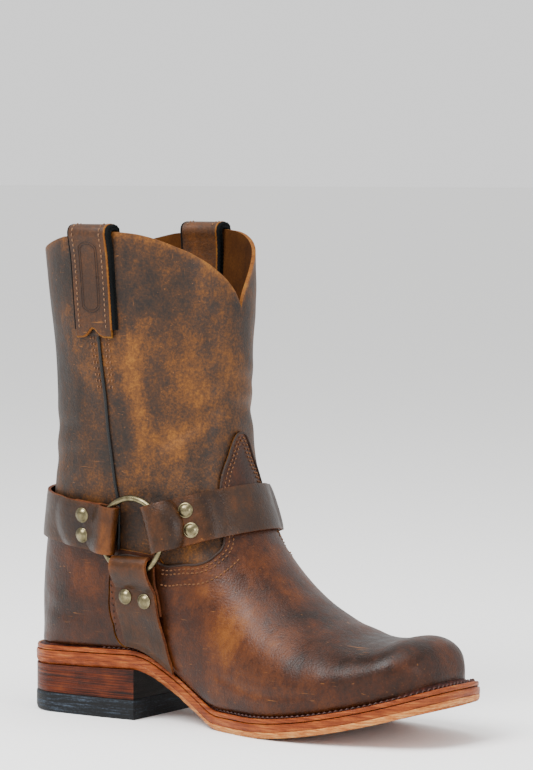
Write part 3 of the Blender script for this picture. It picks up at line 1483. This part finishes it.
def down_point(share, across, out, side):
    """A point of the strap from the ring down to the welt."""
    widening = 1.0 + float(table_at(DOWN_STRAP_LINE, 2, share)) / DOWN_STRAP_HALF
    x = float(table_at(DOWN_STRAP_LINE, 1, share)) + across * widening
    top = RING_Z - math.sqrt(RING_RADIUS**2 - DOWN_STRAP_HALF**2)
    base = float(sole_top(x)) + STRAP_THICK / 2 + SKIN_GAP
    z = top + (base - top) * share
    face = side_skin(x, max(z, base + 3.2), side)
    return np.array((x, side * (face + out), z))


def make_down_strap(side, side_name):
    """The strap folded over the ring's foot and tucked in at the welt."""
    length = RING_Z - RING_RADIUS - float(sole_top(RING_X))
    wire_out = STRAP_LIFT + FOLD_RADIUS + RING_CLEAR
    profile = [(a, o) for a, o in soft_fold(wire_out) if a < FOLD_LAP]
    profile.insert(0, (24.0, STRAP_LIFT))
    profile.append((24.0, STRAP_LIFT + PLY_STEP))
    profile.append((30.0, STRAP_LIFT + 0.5 * PLY_STEP))
    rows = [(along / length, out) for along, out in smooth_profile(profile)]
    for share in np.linspace(36.0 / length, 1.0, 14):
        rows.append((share, STRAP_LIFT))
    across = np.linspace(-DOWN_STRAP_HALF, DOWN_STRAP_HALF, STRAP_COLUMNS)
    points = np.array([[down_point(s, a, o, side) for a in across] for s, o in rows])
    count = len(rows)
    fold = len(smooth_profile(profile)) * 0.5
    bend = np.exp(-(((np.arange(count) - fold) / 6.0) ** 2))
    edge = np.abs(np.linspace(-1.0, 1.0, STRAP_COLUMNS))
    rub = 0.15 * bend[:, None] + 0.3 * edge[None, :] ** 10
    outward = np.tile((0.0, float(side), 0.0), (STRAP_COLUMNS, 1))
    node = f"down_strap_{side_name}"
    strap_slab(f"{node}_dressed", points, outward, rub, node)


def make_ring(side, side_name):
    """The ring: slightly uneven round wire, its joint hidden in the down strap."""
    centre = ring_centre(side)
    turn = circle(96)
    around = circle(20)[:, None]
    spokes = np.stack([np.cos(turn), np.zeros_like(turn), np.sin(turn)], 1)
    wire = RING_WIRE * (1.0 + 0.012 * np.sin(turn * 5.0 + 1.0))
    points = []
    for spoke, radius in zip(spokes, wire):
        turned = spoke * np.cos(around) + np.array((0.0, 1.0, 0.0)) * np.sin(around)
        points.append(centre + spoke * RING_RADIUS + turned * radius)
    points = np.array(points + points[:1])
    faces = grid_faces(len(points), len(around), 0, closed=True)
    name = f"brass_ring_{side_name}"
    points = points.reshape(-1, 3)
    mesh_piece(name, points, faces, [BRASS], "antique_brass", [f"ring_{side_name}"])


# Rivet from its flange to its crown: radius, rise
RIVET_OUTLINE = (
    (4.6, 0.0),
    (4.6, 0.35),
    (4.3, 0.6),
    (3.9, 0.72),
    (3.55, 1.1),
    (2.9, 1.65),
    (2.0, 2.1),
    (1.0, 2.3),
    (0.0, 2.34),
)


def make_rivet(node, spot, outward):
    """A capped rivet: a low dome on a thin flange."""
    outward = np.array(outward) / np.linalg.norm(outward)
    side = np.cross(outward, (0.0, 0.0, 1.0))
    side /= np.linalg.norm(side)
    up = np.cross(outward, side)
    turn = circle(RIVET_SIDES)[:, None]
    outline = curve_rows(RIVET_OUTLINE, np.linspace(0.0, 8.0, 25))
    spokes = side * np.cos(turn) + up * np.sin(turn)
    rings = [spot + spokes * max(radius, 0.0) + outward * rise for radius, rise in outline]
    points = np.concatenate([np.array(rings).reshape(-1, 3), [spot]])
    faces = [list(face) for face in grid_faces(len(rings), RIVET_SIDES, 0, closed=True)]
    base = len(points) - 1
    faces += [[k, base, (k + 1) % RIVET_SIDES] for k in range(RIVET_SIDES)]
    mesh_piece(f"{node}_dressed", points, faces, [BRASS], "antique_brass", [node], sharp=60.0)


def rivet_at(name, point_at, first, second, outward):
    """A rivet on a surface, turned to face outward.

    point_at gives the surface's point for two numbers. first and second each hold
    one of these numbers and the step that shows which way the surface runs.
    """
    spot = point_at(first[0], second[0])
    ahead = point_at(first[0] + first[1], second[0]) - spot
    above = point_at(first[0], second[0] + second[1]) - spot
    facing = np.cross(ahead, above)
    make_rivet(name, spot, facing * math.copysign(1.0, facing @ outward))


def make_rivets(front, rear):
    """Two rivets through each folded end."""
    lift = STRAP_LIFT + PLY_STEP + STRAP_THICK / 2 + 0.15
    along = RIVET_REACH + RIVET_SET
    for side, side_name in SIDES:
        for label, band in (("front", front), ("rear", rear)):
            on_band = lambda angle, across: band.point(angle, across, lift)
            inward = -1.0 if band.front else 1.0
            for across, row in ((-RIVET_HALF_PITCH, "low"), (RIVET_HALF_PITCH, "high")):
                _, wire_angle, wire_out = band.wire(side, math.copysign(STRAP_HALF, across))
                radius = band.line(wire_angle)[0] + wire_out
                angle = wire_angle + side * inward * along / radius
                name = f"rivet_{label}_{side_name}_{row}"
                rivet_at(name, on_band, (angle, 0.02), (across, 1.0), band.way(angle))
        on_strap = lambda share, across: down_point(share, across, lift, side)
        share = along / (RING_Z - RING_RADIUS - float(sole_top(RING_X)))
        for across, end in ((-RIVET_HALF_PITCH, "back"), (RIVET_HALF_PITCH, "front")):
            name = f"rivet_down_{side_name}_{end}"
            rivet_at(name, on_strap, (share, 0.05), (across, 1.0), (0.0, side, 0.0))


def seam_x(z):
    """Place of the side seam at a height."""
    return float(table_at(SIDE_SEAM, 1, z))


def pull_path_point(height_rise, out, across, side):
    """A point of the pull strap: rise over the collar, distance off the shaft."""
    collar = float(table_at(COLLAR, 1, 90.0))
    height = collar + height_rise
    x = seam_x(min(height, SEAM_TOP)) - 2.5 + across
    face = side_skin(x, min(height, collar - 6.0), side)
    return np.array((x, side * (face + out), height))


def pull_strap_grid(path, side):
    """Middle surface of the pull strap, its outer foot notched, and its normals."""
    across = np.linspace(-PULL_HALF, PULL_HALF, PULL_COLUMNS)
    rows = []
    for out, rise in path:
        row = []
        for beside in across:
            notch = 5.5 * math.exp(-((beside / 4.2) ** 2))
            lift = notch * min(max((-52.0 - rise) / 10.0, 0.0), 1.0)
            row.append(pull_path_point(rise + lift, out, beside, side))
        rows.append(row)
    points = np.array(rows)
    normals = even_normals(points)
    if normals[5, PULL_COLUMNS // 2, 1] * side < 0.0:
        normals = -normals
    return points, normals


def make_pull_edges(path, points, normals, side, side_name):
    """Bound edge, raw edge and foot of the pull strap as cords along them."""
    # place across the strap, shift along its normal, radius, name, lay, finish
    cords = (
        (-PULL_HALF - 0.3, 0.4, 0.9, "thin", 0.0, BINDING),
        (PULL_HALF + 0.2, 0.9, 0.75, "raw", 0.0, RAW),
        (PULL_HALF + 1.5, 0.0, 1.35, "broad", 0.14, BINDING),
        (PULL_HALF + 1.9, -1.6, 1.2, "under", 0.14, BINDING),
    )
    for beside, drop, radius, label, twist, finish in cords:
        edge = []
        for (out, rise), normal in zip(path[2:], normals[2:, PULL_COLUMNS // 2]):
            edge.append(pull_path_point(rise, out, beside, side) + normal * drop)
        edge = np.array(edge)
        facing = unit(np.cross(np.gradient(edge, axis=0), (1.0, 0.0, 0.0)))
        line, facing = evenly(edge, facing, pitch=0.8)
        slot = "brown_leather" if finish is RAW else "black_cord"
        tube(f"pull_edge_{label}_{side_name}", line, facing, radius, finish, slot, (), twist)
    line, facing = evenly(points[0] - (0.0, 0.0, 0.3), normals[0], pitch=0.8)
    tube(f"pull_edge_foot_{side_name}", line, facing, 0.85, RAW, "brown_leather", ())


def make_pressed_ovals(face, side, side_name):
    """Two plain ovals pressed into the pull strap's face."""
    turn = np.linspace(0.0, math.tau, 61)
    tab_face = tree_of(face)
    for k, (half_wide, half_high) in enumerate(((6.6, 21.0), (5.2, 19.6))):
        beside = np.clip(np.cos(turn) * 1.12, -1.0, 1.0) * half_wide
        straight = np.sign(np.round(np.sin(turn), 6)) * (half_high - half_wide)
        rise = np.sin(turn) * half_wide + straight
        line = [pull_path_point(-27.0 + r, 4.0, a, side) for a, r in zip(beside, rise)]
        outward = np.tile((0.0, float(side), 0.0), (len(line), 1))
        line, _ = evenly(np.array(line), outward, pitch=0.9)
        line, facing = on_surface(tab_face, line, 0.02)
        name = f"pressed_oval_{side_name}_{k}"
        tube(name, line, facing, 0.3, TAB_DARK, "brown_leather", (), sides=6)


def make_pull_strap(side, side_name):
    """The loop over the collar with its edges, its stitches and its ovals."""
    path = curve_rows(PULL_PATH, np.linspace(0.0, len(PULL_PATH) - 1.0, PULL_ROWS))
    points, normals = pull_strap_grid(path, side)
    face = points + normals * PULL_THICK / 2
    back = points - normals * PULL_THICK / 2
    node = f"pull_strap_{side_name}"
    finishes = [TAB, RAW, TAB]
    slab(f"{node}_dressed", face, back, finishes, "brown_leather", [node], None, STRAP_BEVEL)
    make_pull_edges(path, points, normals, side, side_name)
    rows = [evenly(face[3:72, k], normals[3:72, k], pitch=3.0) for k in (2, 14)]
    name, slot = f"pull_stitches_{side_name}", "brown_leather"
    stitches(name, rows, PALE_THREAD, slot, length=2.1, radius=0.36)
    make_pressed_ovals(face, side, side_name)


def make_side_piping(side, side_name):
    """The black piping in the side seam, and four stitch rows under the collar."""
    path = side_line(side, [(seam_x(z), z) for z in np.linspace(98.0, SEAM_TOP, 100)])
    points, facing = on_surface(FACE, path, 0.75)
    name = f"side_piping_{side_name}"
    nodes = [f"seam_piping_{side_name}"]
    tube(name, points, facing, 0.95, CORD, "black_cord", nodes, twist=0.06)
    threads = []
    for across in (-4.2, -6.4, 4.6, 6.8):
        spread = 1.6 if across < 0 else -1.2
        row = []
        for z in np.linspace(200.0, 229.0, 20):
            row.append((seam_x(z) + across + (SEAM_TOP - z) / 30.0 * spread, z))
        threads.append(evenly(*on_surface(FACE, side_line(side, row)), pitch=3.0))
    name, slot = f"tab_end_stitches_{side_name}", "brown_leather"
    stitches(name, threads, THREAD, slot, length=2.2, radius=0.48)


def vamp_edge_line(side, low=0.0, high=0.56):
    """The vamp's upper edge on one side, and the same line a little farther in."""
    turns = np.linspace(low, high, 160)
    edge = table_at(VAMP_EDGE, 1, turns)
    return boot_points(edge, turns, side), boot_points(edge - 0.05, turns, side)


def row_beside_edge(side, offset, low, high):
    """A line inside the vamp at a distance from its edge, on its face."""
    points, inside = vamp_edge_line(side, low, high)
    run = unit(np.gradient(points, axis=0))
    way = inside - points
    way -= run * np.sum(way * run, axis=1, keepdims=True)
    return on_surface(VAMP_FACE, points + unit(way) * offset)


def make_vamp_edge():
    """Piping along the vamp's edge, two close stitch rows and a third farther in."""
    near, far = (on_surface(VAMP_FACE, vamp_edge_line(s)[0], 0.15) for s, _ in SIDES)
    line, facing = (np.concatenate([a[::-1], b[1:]]) for a, b in zip(near, far))
    line, facing = evenly(line, facing, pitch=0.9)
    tube("vamp_piping", line, facing, 0.75, TAB_DARK, "brown_leather", (), twist=0.05)
    rows = []
    for side, _ in SIDES:
        for offset in (3.0, 5.4):
            rows.append(evenly(*row_beside_edge(side, offset, 0.03, 0.5), pitch=2.9))
        rows.append(evenly(*row_beside_edge(side, 12.0, 0.24, 0.5), pitch=2.7))
    stitches("vamp_stitches", rows, THREAD, "brown_leather", length=2.1, radius=0.5)


def make_counter_stitches():
    """A stitch row down the counter's front edge, beside the down strap."""
    heights = np.linspace(54.0, 92.0, 24)
    rows = []
    for side, _ in SIDES:
        row = side_line(side, [(79.0 - (z - 54.0) * 0.07, z) for z in heights])
        rows.append(evenly(*on_surface(FACE, row, 1.6), pitch=3.4))
    finish, slot = DARK_THREAD, "brown_leather"
    stitches("counter_stitches", rows, finish, slot, length=2.2, radius=0.4, lean=0.5)


SMOOTH_TURNS = np.linspace(0.0, 1.0, 61)
SKIN = tree_of(eased_heel(across_boot(collar_stations, SMOOTH_TURNS), SMOOTH_TURNS))

FACE = tree_of(make_upper())
VAMP_FACE = tree_of(make_vamp())
make_counter()
make_outsole()
make_tread()
make_sole_stitches()
make_welt()
make_heel_lifts()
make_heel_cap()
line_insole()
front_band = Band(FRONT_STRAP_Z, FRONT_STRAP_TILT, FRONT_STRAP_SLOPE, True)
rear_band = Band(REAR_STRAP_Z, REAR_STRAP_TILT, REAR_STRAP_SLOPE, False)
make_band("front_strap_dressed", "front_strap", front_band, fold_rub=0.1)
make_band("rear_strap_dressed", "rear_strap", rear_band, fold_rub=0.5)
make_rivets(front_band, rear_band)
for boot_side, boot_side_name in SIDES:
    make_ring(boot_side, boot_side_name)
    make_down_strap(boot_side, boot_side_name)
    make_pull_strap(boot_side, boot_side_name)
    make_side_piping(boot_side, boot_side_name)
make_vamp_edge()
make_counter_stitches()


def make_floor():
    """Plain white paper under the boot, far enough to fill any view."""
    data = bpy.data.meshes.new("paper_floor")
    half = 40.0
    corners = [(half * x, half * y, 0.0) for x, y in ((-1, -1), (1, -1), (1, 1), (-1, 1))]
    data.from_pydata(corners, [], [(0, 1, 2, 3)])
    data.materials.append(studio_paper("studio_paper"))
    floor = bpy.data.objects.new("paper_floor", data)
    bpy.context.scene.collection.objects.link(floor)


# Soft boxes: name, azimuth and elevation in degrees, distance and size in
# metres, power in watts
SOFT_BOXES = (
    ("key_box", -12.0, 50.0, 1.9, 1.1, 66.0),
    ("side_box", 112.0, 24.0, 2.2, 1.0, 6.0),
    ("front_box", 76.0, 14.0, 2.0, 0.6, 15.0),
    ("top_box", 40.0, 82.0, 1.8, 1.0, 18.0),
)


def make_light(name, azimuth, elevation, distance, size, power):
    """A square soft box aimed at the boot's middle."""
    light = bpy.data.lights.new(name, "AREA")
    light.shape = "SQUARE"
    light.size = size
    light.energy = power
    item = bpy.data.objects.new(name, light)
    a = math.radians(azimuth)
    e = math.radians(elevation)
    away = Vector((math.sin(a) * math.cos(e), -math.cos(a) * math.cos(e), math.sin(e)))
    item.location = away * distance + Vector((0.0, 0.0, 0.13))
    item.rotation_mode = "QUATERNION"
    item.rotation_quaternion = away.to_track_quat("Z", "Y")
    bpy.context.scene.collection.objects.link(item)


def make_studio():
    """White surroundings with a key light on the left of the camera."""
    world = bpy.data.worlds.new("studio")
    bpy.context.scene.world = world
    world.use_nodes = True
    background = world.node_tree.nodes["Background"]
    background.inputs["Color"].default_value = linear("#fbfbfb")
    background.inputs["Strength"].default_value = 1.25
    for box in SOFT_BOXES:
        make_light(*box)


def make_camera():
    """The photograph's camera: 2.2 m away, a little over the boot, long lens."""
    azimuth = math.radians(35.48)
    look_down = math.radians(3.408)
    distance, height, aim_x = 2215.3, 333.2, 140.0
    camera = bpy.data.cameras.new("camera")
    camera.lens = 174.53
    camera.sensor_width = 36.0
    camera.shift_x = 0.0398
    camera.shift_y = -0.001
    camera.clip_end = 200.0
    item = bpy.data.objects.new("camera", camera)
    x = aim_x + distance * math.sin(azimuth)
    spot = (x, -distance * math.cos(azimuth), height)
    item.location = Vector(place(spot))
    item.rotation_euler = (math.pi / 2 - look_down, 0.0, azimuth)
    bpy.context.scene.collection.objects.link(item)
    bpy.context.scene.camera = item


make_floor()
make_studio()
make_camera()
